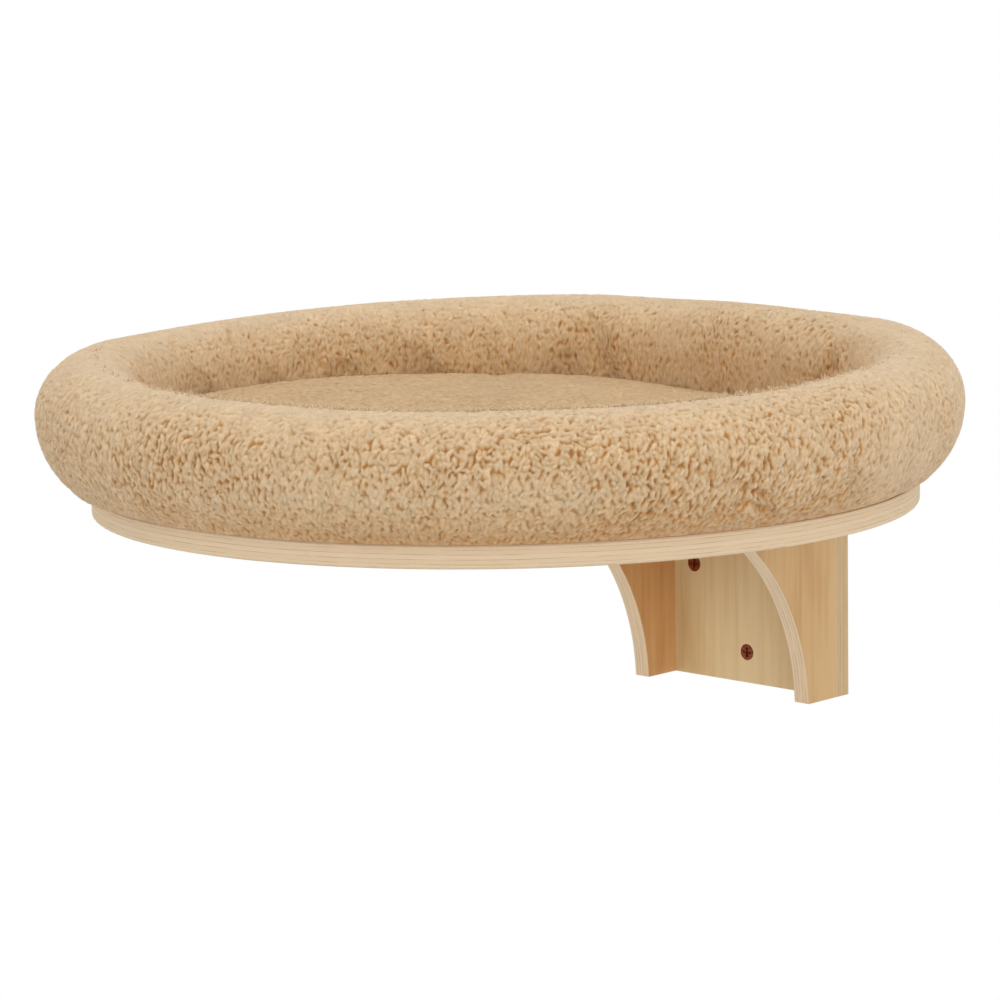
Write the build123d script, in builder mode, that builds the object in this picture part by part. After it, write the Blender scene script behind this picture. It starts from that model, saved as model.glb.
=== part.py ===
from build123d import *
from math import sqrt
import os

# Wall-mounted cat perch: a round plywood seat on a bracket of one wall plate and two coved
# gussets, with a plush ring bed that lifts off the seat.
# Millimetres. +Z is up, the wall is the plane Y = 0 and the room lies on its -Y side.
# The origin is the middle of the wall plate's back face.

# Bracket
bracket_width = 115.0
bracket_height = 115.5
plate_thickness = 10.5
gusset_thickness = 9.3
gusset_foot_depth = 21.0
gusset_arm_length = 133.0
gusset_tip_height = 8.0
panel_edge_round = 0.6

# Seat board
board_diameter = 385.0
board_thickness = 10.5
board_edge_round = 1.2

# Wall screws: an upper pair and one below, with their threads standing out of the plate
upper_screw_spacing = 70.0
upper_screw_height = 57.75
lower_screw_height = 15.75
wall_screw_head = 8.2
wall_screw_shank = 4.0
wall_screw_thread = 4.5
wall_screw_in_wall = 21.5
wall_screw_tip = 6.0
wall_screw_hole = 5.0
recess_width = 1.3
recess_span = 5.0
recess_depth = 1.8

# Wood screws that join the panels
wood_screw_head = 7.0
wood_screw_shank = 3.5
wood_screw_length = 30.0
wood_screw_tip = 5.0
head_clearance = 0.15
pilot_clearance = 0.05
seat_screw_rear_setback = 20.0
seat_screw_front_setback = 68.0
gusset_screw_low_height = 22.0
gusset_screw_high_height = 93.0

# Bed: the ring bolster, the floor pad and the bottom cloth
bed_diameter = 426.0
bolster_width = 46.0
bolster_crown_setback = 24.5
bolster_height = 62.0
bolster_belly_height = 37.0
bolster_foot_setback = 25.0
bolster_foot_width = 19.0
pad_edge_height = 26.0
pad_crown_height = 33.5
pad_edge_roll = 7.0
bottom_cloth_thickness = 3.0
cover_thickness = 2.5
soft_gap = 0.3
wall_gap = 1.0
deepest_press = 26.0
pressed_edge_round = 5.0

# Hook-and-loop rounds that hold the bed on the seat
fastener_round = 44.0
fastener_spacing = 160.0
hook_thickness = 1.0
loop_thickness = 1.0
pocket_clearance = 0.5

# Places worked out from the sizes above
bracket_bottom = -bracket_height / 2
bracket_top = bracket_height / 2
plate_front = -plate_thickness
board_radius = board_diameter / 2
board_top = bracket_top + board_thickness
# The board is cut flat where it meets the wall, over the width of the bracket.
board_centre = -sqrt(board_radius**2 - (bracket_width / 2) ** 2)
gusset_middle = (bracket_width - gusset_thickness) / 2
foot_front = plate_front - gusset_foot_depth
tip_front = plate_front - gusset_arm_length
tip_bottom = bracket_top - gusset_tip_height
wall_screw_points = [
    (-upper_screw_spacing / 2, bracket_bottom + upper_screw_height),
    (upper_screw_spacing / 2, bracket_bottom + upper_screw_height),
    (0, bracket_bottom + lower_screw_height),
]
seat_screw_points = [
    (side * gusset_middle, plate_front - setback)
    for side in (-1, 1)
    for setback in (seat_screw_rear_setback, seat_screw_front_setback)
]
# The points lie the same way on both sides of X = 0, so they also serve on the plate's back face,
# whose local X runs the other way.
gusset_screw_points = [
    (side * gusset_middle, bracket_bottom + height)
    for side in (-1, 1)
    for height in (gusset_screw_low_height, gusset_screw_high_height)
]
plate_back_plane = Plane(origin=(0, 0, 0), x_dir=(-1, 0, 0), z_dir=(0, 1, 0))
plate_front_plane = Plane.XZ.offset(plate_thickness)
board_top_plane = Plane.XY.offset(board_top)
bed_radius = bed_diameter / 2
# The bed lies in the middle of the board, or as far in front of that as keeps its back from being
# pressed in deeper than deepest_press.
bed_centre = min(board_centre, deepest_press - wall_gap - bed_radius)
bed_axis = Axis((0, bed_centre, 0), (0, 0, 1))
bed_profile_plane = Plane(origin=(0, bed_centre, 0), x_dir=(1, 0, 0), z_dir=(0, -1, 0))
bed_bottom = board_top + soft_gap
bolster_crown_radius = bed_radius - bolster_crown_setback
# The pad fills the ring up to its innermost points, which lie at its belly or at its foot.
bolster_opening = bed_radius - max(bolster_width, bolster_foot_setback + bolster_foot_width)
pad_radius = bolster_opening - soft_gap
pad_bottom = bed_bottom + bottom_cloth_thickness + soft_gap
hook_top = board_top + hook_thickness
loop_bottom = hook_top + soft_gap
loop_top = loop_bottom + loop_thickness


def screw(head, shank, length, tip, plain=0.0, thread=0.0):
    """A countersunk cross-head screw along -Z, its head flush at Z = 0.

    Where thread is given, the screw has that diameter from the depth plain downwards."""
    outline = [(0, 0), (head / 2, 0), (shank / 2, (shank - head) / 2)]
    if thread:
        outline += [(shank / 2, -plain), (thread / 2, -plain)]
    outline += [(max(shank, thread) / 2, tip - length), (0, -length)]
    with BuildPart() as made:
        with BuildSketch(Plane.XZ):
            with BuildLine():
                Polyline(*outline, close=True)
            make_face()
        revolve(axis=Axis.Z)
        with BuildSketch():
            Rectangle(recess_span, recess_width)
            Rectangle(recess_width, recess_span)
        extrude(amount=-recess_depth, mode=Mode.SUBTRACT)
    return made.part


def pressed_ring(inset):
    """The bolster with its skin moved in by inset: its section is turned about the bed's axis,
    and the ring is pressed flat along the wall."""
    belly = bed_bottom + bolster_belly_height
    outer = bolster_crown_setback - inset
    inner = bolster_width - bolster_crown_setback - inset
    rise = bolster_height - bolster_belly_height - inset
    foot = bed_bottom + inset
    foot_outer = bed_radius - bolster_foot_setback - inset
    foot_inner = bed_radius - bolster_foot_setback - bolster_foot_width + inset
    belly_outer = bolster_crown_radius + outer
    belly_inner = bolster_crown_radius - inner
    belly_middle = (bolster_crown_radius, belly)
    with BuildPart() as ring:
        with BuildSketch(bed_profile_plane):
            with BuildLine():
                EllipticalCenterArc(belly_middle, outer, rise, start_angle=0, arc_size=90)
                EllipticalCenterArc(belly_middle, inner, rise, start_angle=90, arc_size=90)
                TangentArc((belly_inner, belly), (foot_inner, foot), tangent=(0, -1))
                Line((foot_inner, foot), (foot_outer, foot))
                TangentArc((belly_outer, belly), (foot_outer, foot), tangent=(0, -1))
            make_face()
        revolve(axis=bed_axis)
        with Locations((0, -wall_gap - inset, belly)):
            Box(
                bed_diameter,
                bed_diameter,
                2 * bolster_height,
                align=(Align.CENTER, Align.MIN, Align.CENTER),
                mode=Mode.SUBTRACT,
            )
        pressed_face = ring.faces().sort_by(Axis.Y)[-1]
        fillet(pressed_face.edges(), pressed_edge_round - inset)
    return ring.part


def crowned_pad(inset):
    """The floor pad with its skin moved in by inset: flat below, rolled at its edge, crowned above."""
    low = pad_bottom + inset
    edge = bed_bottom + pad_edge_height - inset
    crown = bed_bottom + pad_crown_height - inset
    rim = pad_radius - inset
    roll = rim - pad_edge_roll
    with BuildPart() as pad:
        with BuildSketch(bed_profile_plane):
            with BuildLine():
                Polyline((0, crown), (0, low), (roll, low))
                ThreePointArc((roll, low), (rim, (low + edge) / 2), (roll, edge))
                TangentArc((0, crown), (roll, edge), tangent=(1, 0))
            make_face()
        revolve(axis=bed_axis)
    return pad.part


# Bracket: the wall plate, countersunk from the front for the wall and from the back for the gussets
with BuildPart() as wall_plate:
    with BuildSketch(Plane.XZ):
        Rectangle(bracket_width, bracket_height)
    extrude(amount=plate_thickness)
    fillet(wall_plate.edges().filter_by(Axis.Z), panel_edge_round)
    with Locations(plate_front_plane):
        with Locations(*wall_screw_points):
            CounterSinkHole(
                wall_screw_hole / 2,
                wall_screw_head / 2 + head_clearance,
                counter_sink_angle=90,
            )
    with Locations(plate_back_plane):
        with Locations(*gusset_screw_points):
            CounterSinkHole(
                wood_screw_shank / 2 + pilot_clearance,
                wood_screw_head / 2 + head_clearance,
                counter_sink_angle=90,
            )
wall_plate.part.label = "wall_plate"

# Bracket: two gussets, flush with the plate's ends, each with a coved front edge
gussets = {}
for name, side in (("left_gusset", -1), ("right_gusset", 1)):
    with BuildPart() as gusset:
        with BuildSketch(Plane.YZ.offset(side * gusset_middle)):
            with BuildLine():
                Polyline(
                    (tip_front, tip_bottom),
                    (tip_front, bracket_top),
                    (plate_front, bracket_top),
                    (plate_front, bracket_bottom),
                    (foot_front, bracket_bottom),
                )
                TangentArc((tip_front, tip_bottom), (foot_front, bracket_bottom), tangent=(1, 0))
            make_face()
        extrude(amount=gusset_thickness / 2, both=True)
        fillet(gusset.edges().filter_by(GeomType.CIRCLE), panel_edge_round)
        with Locations(Plane.XY.offset(bracket_top)):
            with Locations(*[point for point in seat_screw_points if point[0] * side > 0]):
                Hole(
                    wood_screw_shank / 2 + pilot_clearance,
                    depth=wood_screw_length - board_thickness + pilot_clearance,
                )
        with Locations(plate_front_plane):
            with Locations(*[point for point in gusset_screw_points if point[0] * side > 0]):
                Cylinder(
                    wood_screw_shank / 2 + pilot_clearance,
                    wood_screw_length - plate_thickness + pilot_clearance,
                    align=(Align.CENTER, Align.CENTER, Align.MIN),
                    mode=Mode.SUBTRACT,
                )
    gusset.part.label = name
    gussets[name] = gusset.part

# Seat board: a plywood disc, cut flat at the wall, countersunk over the gussets
with BuildPart() as seat_board:
    with BuildSketch(Plane.XY.offset(bracket_top)):
        with Locations((0, board_centre)):
            Circle(board_radius)
        Rectangle(
            board_diameter,
            board_diameter,
            align=(Align.CENTER, Align.MIN),
            mode=Mode.SUBTRACT,
        )
    extrude(amount=board_thickness)
    fillet(seat_board.edges().filter_by(GeomType.CIRCLE), board_edge_round)
    with Locations(board_top_plane):
        with Locations(*seat_screw_points):
            CounterSinkHole(
                wood_screw_shank / 2 + pilot_clearance,
                wood_screw_head / 2 + head_clearance,
                counter_sink_angle=90,
            )
seat_board.part.label = "seat_board"

# Three wall screws, whose threads stand out behind the plate
wall_screw = screw(
    wall_screw_head,
    wall_screw_shank,
    plate_thickness + wall_screw_in_wall,
    wall_screw_tip,
    plain=plate_thickness,
    thread=wall_screw_thread,
)
with BuildPart() as wall_screws:
    with Locations(plate_front_plane):
        with Locations(*wall_screw_points):
            add(wall_screw)
wall_screws.part.label = "wall_screws"

# Wood screws: four down through the seat and four from the plate's back into the gussets
wood_screw = screw(wood_screw_head, wood_screw_shank, wood_screw_length, wood_screw_tip)
with BuildPart() as seat_screws:
    with Locations(board_top_plane):
        with Locations(*seat_screw_points):
            add(wood_screw)
seat_screws.part.label = "seat_screws"

with BuildPart() as gusset_screws:
    with Locations(plate_back_plane):
        with Locations(*gusset_screw_points):
            add(wood_screw)
gusset_screws.part.label = "gusset_screws"

# Hook rounds stuck to the seat board
with BuildPart() as hook_rounds:
    with BuildSketch(board_top_plane):
        with Locations((0, bed_centre)):
            with GridLocations(fastener_spacing, fastener_spacing, 2, 2):
                Circle(fastener_round / 2)
    extrude(amount=hook_thickness)
hook_rounds.part.label = "hook_rounds"

# Loop rounds sewn under the bottom cloth, over the hook rounds
with BuildPart() as loop_rounds:
    with BuildSketch(Plane.XY.offset(loop_bottom)):
        with Locations((0, bed_centre)):
            with GridLocations(fastener_spacing, fastener_spacing, 2, 2):
                Circle(fastener_round / 2)
    extrude(amount=loop_thickness)
loop_rounds.part.label = "loop_rounds"

# Bottom cloth, a thin disc that gives way round the hook and loop rounds
with BuildPart() as bottom_cloth:
    with BuildSketch(Plane.XY.offset(bed_bottom)):
        with Locations((0, bed_centre)):
            Circle(pad_radius)
    extrude(amount=bottom_cloth_thickness)
    with BuildSketch(Plane.XY.offset(bed_bottom)):
        with Locations((0, bed_centre)):
            with GridLocations(fastener_spacing, fastener_spacing, 2, 2):
                Circle(fastener_round / 2 + pocket_clearance)
    extrude(amount=loop_top - bed_bottom, mode=Mode.SUBTRACT)
bottom_cloth.part.label = "bottom_cloth"

# Floor pad: a crowned plush cover over its filling
with BuildPart() as pad_cover:
    add(crowned_pad(0))
    add(crowned_pad(cover_thickness), mode=Mode.SUBTRACT)
pad_cover.part.label = "pad_cover"

with BuildPart() as pad_filling:
    add(crowned_pad(cover_thickness + soft_gap))
pad_filling.part.label = "pad_filling"

# Ring bolster: a plush sleeve round its filling
with BuildPart() as bolster_cover:
    add(pressed_ring(0))
    add(pressed_ring(cover_thickness), mode=Mode.SUBTRACT)
bolster_cover.part.label = "bolster_cover"

with BuildPart() as bolster_filling:
    add(pressed_ring(cover_thickness + soft_gap))
bolster_filling.part.label = "bolster_filling"

os.makedirs("parts", exist_ok=True)
for piece in (
    wall_plate.part,
    gussets["left_gusset"],
    gussets["right_gusset"],
    seat_board.part,
    wall_screws.part,
    seat_screws.part,
    gusset_screws.part,
    hook_rounds.part,
    loop_rounds.part,
    bottom_cloth.part,
    pad_cover.part,
    pad_filling.part,
    bolster_cover.part,
    bolster_filling.part,
):
    export_step(piece, f"parts/{piece.label}.step")
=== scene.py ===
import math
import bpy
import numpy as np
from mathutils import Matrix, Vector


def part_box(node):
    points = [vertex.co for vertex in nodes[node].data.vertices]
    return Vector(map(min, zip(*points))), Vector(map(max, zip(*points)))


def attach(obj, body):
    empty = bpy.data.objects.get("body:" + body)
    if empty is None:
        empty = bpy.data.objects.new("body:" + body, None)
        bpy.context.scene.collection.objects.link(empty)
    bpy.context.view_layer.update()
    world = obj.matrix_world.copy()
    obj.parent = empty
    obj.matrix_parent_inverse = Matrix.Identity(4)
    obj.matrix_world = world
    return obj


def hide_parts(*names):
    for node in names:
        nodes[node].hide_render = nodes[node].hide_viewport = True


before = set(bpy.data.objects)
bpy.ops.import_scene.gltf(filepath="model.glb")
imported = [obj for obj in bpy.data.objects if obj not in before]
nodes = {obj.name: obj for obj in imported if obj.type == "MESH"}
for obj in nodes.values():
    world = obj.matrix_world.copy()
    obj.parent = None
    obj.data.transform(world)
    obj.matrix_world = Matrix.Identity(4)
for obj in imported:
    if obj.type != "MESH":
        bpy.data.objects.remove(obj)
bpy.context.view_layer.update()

# %% [markdown]
# # A wall-mounted cat perch
# A round plywood seat stands out from the wall on a bracket of one plate and two coved gussets.
# On the seat lies a plush bed: a thick ring bolster round a floor pad. The wooden pieces come
# from the CAD model and only get a finish here. The soft pieces are made here as surfaces worked
# out with numpy, puffed up by a short cloth simulation and then given their curly pile.


def in_mm(values):
    """Metres as millimetres, rounded for printing."""
    return [round(float(value) * 1000, 1) for value in np.ravel(values)]


# %% [markdown]
# ## The camera
# The camera's place was worked out from the ellipses of the round seat and the corners of the
# bracket, whose sizes are known. It stands in front of the perch and to its right, a little above
# the seat, with a long lens. Three directions describe it: the one it looks back along, its own
# right and its own up, the last two turned a little about the view line.

# %% The camera at the photograph's angle
def direction_frame(azimuth, elevation, roll):
    """Right, up and back directions of a camera.

    back = (sin a cos e, -cos a cos e, sin e); right is level, up is back x right, and both are
    turned by the roll angle about back."""
    a, e, r = np.radians([azimuth, elevation, roll])
    back = np.array([math.sin(a) * math.cos(e), -math.cos(a) * math.cos(e), math.sin(e)])
    right = np.array([math.cos(a), math.sin(a), 0.0])
    up = np.cross(back, right)
    return (math.cos(r) * right + math.sin(r) * up, -math.sin(r) * right + math.cos(r) * up, back)


right, up, back = direction_frame(44.4505, 8.6749, -1.1014)
turn = Matrix([[right[i], up[i], back[i]] for i in range(3)]).to_4x4()
camera_data = bpy.data.cameras.new("photo_camera")
camera_data.lens = 123.58
camera_data.sensor_width = 36.0
camera_data.clip_end = 100.0
camera = bpy.data.objects.new("photo_camera", camera_data)
camera.matrix_world = Matrix.Translation((1.110656, -1.319674, 0.299852)) @ turn
scene = bpy.context.scene
scene.collection.objects.link(camera)
scene.camera = camera
scene.view_settings.view_transform = "Standard"
print("camera at", [round(v, 3) for v in camera.location], "lens", camera_data.lens)

# %% [markdown]
# ## Small helpers for materials
# Colours are easier to judge as the 0-255 numbers of a screen, but shaders count light, so one
# helper turns the first into the second. Two more make nodes and node groups: a group is a
# finish that several materials share, each with its own values.

# %% Colours, nodes and groups
def tint(red, green, blue):
    """A screen colour of 0-255 parts as the linear colour that shaders use, with alpha 1."""
    parts = np.array([red, green, blue]) / 255.0
    linear = np.where(parts > 0.04045, ((parts + 0.055) / 1.055) ** 2.4, parts / 12.92)
    return (*map(float, linear), 1.0)


def add_node(tree, kind, values=None, **settings):
    """A shader node of that kind, with its settings and the values of its input sockets, by number
    or by name with _ for a space."""
    node = tree.nodes.new("ShaderNode" + kind)
    for name, value in settings.items():
        setattr(node, name, value)
    for socket, value in (values or {}).items():
        socket = socket.replace("_", " ") if isinstance(socket, str) else socket
        if isinstance(value, bpy.types.NodeSocket):
            tree.links.new(value, node.inputs[socket])
        else:
            node.inputs[socket].default_value = value
    return node


def maths(tree, operation, *values):
    """The output of a Math node."""
    return add_node(tree, "Math", dict(enumerate(values)), operation=operation).outputs[0]


def weighted(tree, first, first_share, second, second_share):
    """first * first_share + second * second_share."""
    return maths(tree, "ADD", maths(tree, "MULTIPLY", first, first_share),
                 maths(tree, "MULTIPLY", second, second_share))


def ramp(tree, value, low, high, to_low=0.0, to_high=1.0):
    """value taken smoothly from the range low..high to the range to_low..to_high."""
    node = add_node(tree, "MapRange", {0: value, 1: low, 2: high, 3: to_low, 4: to_high},
                    interpolation_type="SMOOTHSTEP")
    return node.outputs[0]


def blend_colour(tree, factor, first, second, mode="MIX"):
    """Two colours mixed by factor."""
    node = add_node(tree, "Mix", {0: factor, 6: first, 7: second},
                    data_type="RGBA", blend_type=mode)
    return node.outputs[2]


def grain_noise(tree, vector, scale, detail=2.0, roughness=0.5, stretch=None, distortion=0.0):
    """Noise of 0..1 over a vector, whose axes may be stretched first."""
    if stretch:
        vector = add_node(tree, "Mapping", {0: vector, 3: stretch}).outputs[0]
    return add_node(tree, "TexNoise",
                    {"Vector": vector, "Scale": scale, "Detail": detail, "Roughness": roughness,
                     "Distortion": distortion}).outputs[0]


def object_place(tree):
    """Object coordinates, which are metres in the shared frame."""
    return add_node(tree, "TexCoord").outputs["Object"]


def new_group(name, inputs, outputs):
    """An empty node group; returns it with the sockets it is given and the node for its results.

    Inputs are names with their defaults: None makes a vector, a number a value and a tint a
    colour. Outputs are names, of values except for Color."""
    group = bpy.data.node_groups.new(name, "ShaderNodeTree")
    for label, value in inputs.items():
        kind = "Vector" if value is None else "Float" if isinstance(value, float) else "Color"
        socket = group.interface.new_socket(label, in_out="INPUT", socket_type="NodeSocket" + kind)
        if value is not None:
            socket.default_value = value
    for label in outputs:
        kind = "NodeSocketColor" if label == "Color" else "NodeSocketFloat"
        group.interface.new_socket(label, in_out="OUTPUT", socket_type=kind)
    return group, group.nodes.new("NodeGroupInput").outputs, group.nodes.new("NodeGroupOutput")


def new_material(name, **shader_values):
    """A material with one Principled shader; returns it, its tree and the shader."""
    material = bpy.data.materials.new(name)
    material.use_nodes = True
    tree = material.node_tree
    shader = tree.nodes["Principled BSDF"]
    for socket, value in shader_values.items():
        shader.inputs[socket.replace("_", " ")].default_value = value
    return material, tree, shader


def dress(tree, shader, colour, height, strength, depth):
    """Gives the shader its colour and the relief of height, which is depth metres deep."""
    bump = add_node(tree, "Bump", {"Strength": strength, "Distance": depth, "Height": height})
    tree.links.new(colour, shader.inputs["Base Color"])
    tree.links.new(bump.outputs[0], shader.inputs["Normal"])


def wear(material, *objects):
    """Puts the material in every material slot of the objects."""
    for piece in objects:
        if not piece.data.materials:
            piece.data.materials.append(material)
        for index in range(len(piece.material_slots)):
            piece.material_slots[index].link = "DATA"
            piece.data.materials[index] = material


print("helpers ready")

# %% [markdown]
# ## Birch plywood
# Plywood shows two faces. Its broad sides are one veneer, pale and softly figured along the grain.
# Its edges show the stack of plies, which lie crosswise in turn, so that one is long grain and
# the next end grain, with a thin darker glue line between them. The finish tells the two
# apart by how deep a point lies in the sheet, not by which way the surface faces, so it also
# holds on round edges and in screw holes.

# %% The plywood group
def make_plywood_group():
    """Colour, roughness and height of plywood at a point (across, along the grain, depth).

    depth / thickness = t. Where |t - 0.5| > 0.47 the point is on a face. Elsewhere t times the
    number of plies tells the ply, and its whole numbers are the glue lines."""
    group, given, result = new_group("plywood", {
        "Vector": None, "Thickness": 0.0105, "Plies": 5.0, "Line": 0.62,
        "Face": tint(222, 190, 142), "Figure": tint(208, 168, 116), "Edge": tint(224, 202, 172),
        "Cross Ply": tint(216, 190, 152), "Glue": tint(166, 130, 92)},
        ("Color", "Roughness", "Height"))
    place, glue, cross_ply = given["Vector"], given["Glue"], given["Cross Ply"]
    split = add_node(group, "SeparateXYZ", {0: place})
    depth = maths(group, "DIVIDE", split.outputs[2], given["Thickness"])
    face = ramp(group, maths(group, "ABSOLUTE", maths(group, "SUBTRACT", depth, 0.5)), 0.462, 0.482)

    # The face veneer: broad soft figure, narrow streaks and short fine pores along the grain.
    broad = grain_noise(group, place, 1.0, 3.0, 0.55, (34.0, 5.0, 3.0), 0.6)
    streak = grain_noise(group, place, 1.0, 4.0, 0.6, (240.0, 9.0, 3.0), 0.3)
    pores = grain_noise(group, place, 1.0, 2.0, 0.6, (2600.0, 130.0, 60.0))
    figure = weighted(group, broad, 0.62, streak, 0.38)
    veneer = blend_colour(group, ramp(group, figure, 0.38, 0.66), given["Face"], given["Figure"])
    veneer = blend_colour(group, ramp(group, pores, 0.60, 0.74, 0.0, 0.20), veneer, glue)

    # The edge: plies of slightly uneven thickness, streaked along their length.
    waver = grain_noise(group, place, 1.0, 2.0, 0.5, (18.0, 18.0, 8.0))
    stack = weighted(group, depth, given["Plies"], maths(group, "SUBTRACT", waver, 0.5), 0.34)
    ply = maths(group, "FLOOR", stack)
    crosswise = maths(group, "MODULO", maths(group, "ADD", ply, 20.0), 2.0)
    within = maths(group, "SUBTRACT", stack, ply)
    from_line = maths(group, "MINIMUM", within, maths(group, "SUBTRACT", 1.0, within))
    strength = grain_noise(group, place, 1.0, 2.0, 0.6, (60.0, 60.0, 900.0))
    line = maths(group, "MULTIPLY", ramp(group, from_line, 0.015, 0.10, 1.0, 0.0),
                 ramp(group, strength, 0.35, 0.62, 0.10, given["Line"]))
    fine = grain_noise(group, place, 1.0, 3.0, 0.65, (70.0, 70.0, 2600.0))
    speck = grain_noise(group, place, 1.0, 2.0, 0.6, (900.0, 900.0, 2600.0))
    edge = blend_colour(group, maths(group, "MULTIPLY", crosswise, 0.38), given["Edge"], cross_ply)
    edge = blend_colour(group, ramp(group, fine, 0.42, 0.72, 0.0, 0.38), edge, cross_ply)
    edge = blend_colour(group, ramp(group, speck, 0.60, 0.75, 0.0, 0.30), edge, glue)
    edge = blend_colour(group, line, edge, glue)

    face_height = maths(group, "MULTIPLY", maths(group, "ADD", streak, pores), 0.25)
    edge_height = maths(group, "SUBTRACT", maths(group, "MULTIPLY", fine, 0.8), line)
    height = add_node(group, "Mix", {0: face, 2: edge_height, 3: face_height}).outputs[0]
    group.links.new(blend_colour(group, face, edge, veneer), result.inputs["Color"])
    group.links.new(ramp(group, face, 0.0, 1.0, 0.74, 0.52), result.inputs["Roughness"])
    group.links.new(height, result.inputs["Height"])
    return group


plywood = make_plywood_group()
print("plywood group:", len(plywood.nodes), "nodes")

# %% [markdown]
# Each panel is cut from the sheet in its own direction: the seat lies flat, the wall plate stands
# with its thickness towards the room and the gussets stand edge-on to it. A Mapping node turns
# Object coordinates so that the group always sees across, along the grain and depth.

# %% A plywood material for each panel
def plywood_material(name, turn_by, shift, thickness, **colours):
    """Plywood for one panel: Object coordinates moved by shift and turned into the sheet's own
    directions."""
    material, tree, shader = new_material(name, Specular_IOR_Level=0.35)
    place = add_node(tree, "Mapping", {0: object_place(tree), 1: shift}).outputs[0]
    place = add_node(tree, "Mapping", {0: place, 2: turn_by}).outputs[0]
    sheet = add_node(tree, "Group", {"Vector": place, "Thickness": thickness, **colours},
                     node_tree=plywood)
    tree.links.new(sheet.outputs["Roughness"], shader.inputs["Roughness"])
    dress(tree, shader, sheet.outputs["Color"], sheet.outputs["Height"], 0.5, 0.00012)
    return material


quarter = math.pi / 2
board_low, board_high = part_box("seat_board")
plate_low, plate_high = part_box("wall_plate")
left_low, left_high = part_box("left_gusset")
right_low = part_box("right_gusset")[0]
board_thickness = board_high[2] - board_low[2]
plate_thickness = plate_high[1] - plate_low[1]
gusset_thickness = left_high[0] - left_low[0]
flat, upright, edge_on = (0.0, 0.0, quarter), (quarter, 0.0, 0.0), (quarter, -quarter, 0.0)
wear(plywood_material("seat_plywood", flat, (0.0, 0.0, -board_low[2]), board_thickness),
     nodes["seat_board"])
wear(plywood_material("plate_plywood", upright, (0.013, -plate_low[1], 0.04), plate_thickness,
                      Face=tint(222, 197, 152), Figure=tint(208, 177, 126),
                      Edge=tint(204, 177, 138), Cross_Ply=tint(194, 163, 122), Line=0.95),
     nodes["wall_plate"])
# The left gusset's colours are darker and more orange than the right one's: partly its own colour
# and partly painted shade, as it stands in shade under the seat.
wear(plywood_material("left_gusset_shaded_plywood", edge_on, (-left_low[0], 0.21, 0.0), gusset_thickness,
                      Face=tint(210, 162, 108), Figure=tint(190, 136, 82), Line=0.95),
     nodes["left_gusset"])
wear(plywood_material("right_gusset_plywood", edge_on, (-right_low[0], 0.47, 0.1), gusset_thickness,
                      Face=tint(206, 171, 121), Figure=tint(190, 148, 97), Line=0.95),
     nodes["right_gusset"])
print("panels, mm:", in_mm([board_thickness, plate_thickness, gusset_thickness]))

# %% [markdown]
# ## Where the bed lies
# The bed's middle, its bottom and its sizes are read from the CAD boxes. In the photograph the
# bed sits a hair to one side, and its rim is lower in front, where it hangs over the seat, than
# at the back, where the wall holds it up. So the height of the ring is a sum of a few slow waves
# round the ring, found from its outline in the photograph.

# %% The bed's middle and its height round the ring
mm = 0.001
ring_low, ring_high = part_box("bolster_cover")
ring_radius = (ring_high[0] - ring_low[0]) / 2
bed_bottom = ring_low[2]
bed_middle = np.array([(ring_high[0] + ring_low[0]) / 2 + 1.5 * mm,
                       ring_low[1] + ring_radius + 0.8 * mm])
wall_gap = 1.0 * mm
bolster_radius = ring_radius + 0.7 * mm
bolster_inner = 167.0 * mm
crown_radius = 188.5 * mm
belly_height = 37.0 * mm
crown_height = 62.0 * mm
most_push, push_middle, push_spread = 18.0 * mm, 88.0, 26.0


def push(angle):
    """How far the wall pushes the ring's inner side towards the bed's middle: most_push at the
    middle of the pressed part, falling off as exp(-(distance / push_spread)^2)."""
    distance = np.degrees(np.angle(np.exp(1j * (np.asarray(angle) - np.radians(push_middle)))))
    return most_push * np.exp(-((distance / push_spread) ** 2))


def ring_height(angle):
    """Height of the crown over the bed's bottom, in metres: a mean and three waves round the ring,
    and a little more where the wall pushes."""
    return 0.09 * push(angle) + mm * (
        62.1 - 3.6 * np.cos(angle) + 6.05 * np.sin(angle) - 0.7 * np.cos(2 * angle)
        + 1.0 * np.sin(2 * angle) - 0.2 * np.cos(3 * angle) - 0.2 * np.sin(3 * angle))


def about_bed(radius, angle, height):
    """Points at a radius and an angle about the bed's middle and a height over its bottom."""
    return np.stack([bed_middle[0] + radius * np.cos(angle), bed_middle[1] + radius * np.sin(angle),
                     bed_bottom + height], -1)


print("bed middle, mm:", in_mm(bed_middle), "bottom", in_mm(bed_bottom))

# %% [markdown]
# ## The bolster's section
# Cut through, the bolster is a plump oval that stands on a flat foot. Its outline is carried
# round the ring. Where the ring meets the wall it is squeezed: every point of the section moves
# towards the inner side in proportion, so that the skin stays one smooth surface.

# %% The section and the ring that it sweeps
def arc(middle, half_width, half_height, start, stop, count):
    """Points of an ellipse's arc between two angles in degrees, without the last one."""
    t = np.radians(np.linspace(start, stop, count, endpoint=False))
    return np.stack([middle[0] + half_width * np.cos(t), middle[1] + half_height * np.sin(t)], 1)


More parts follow.
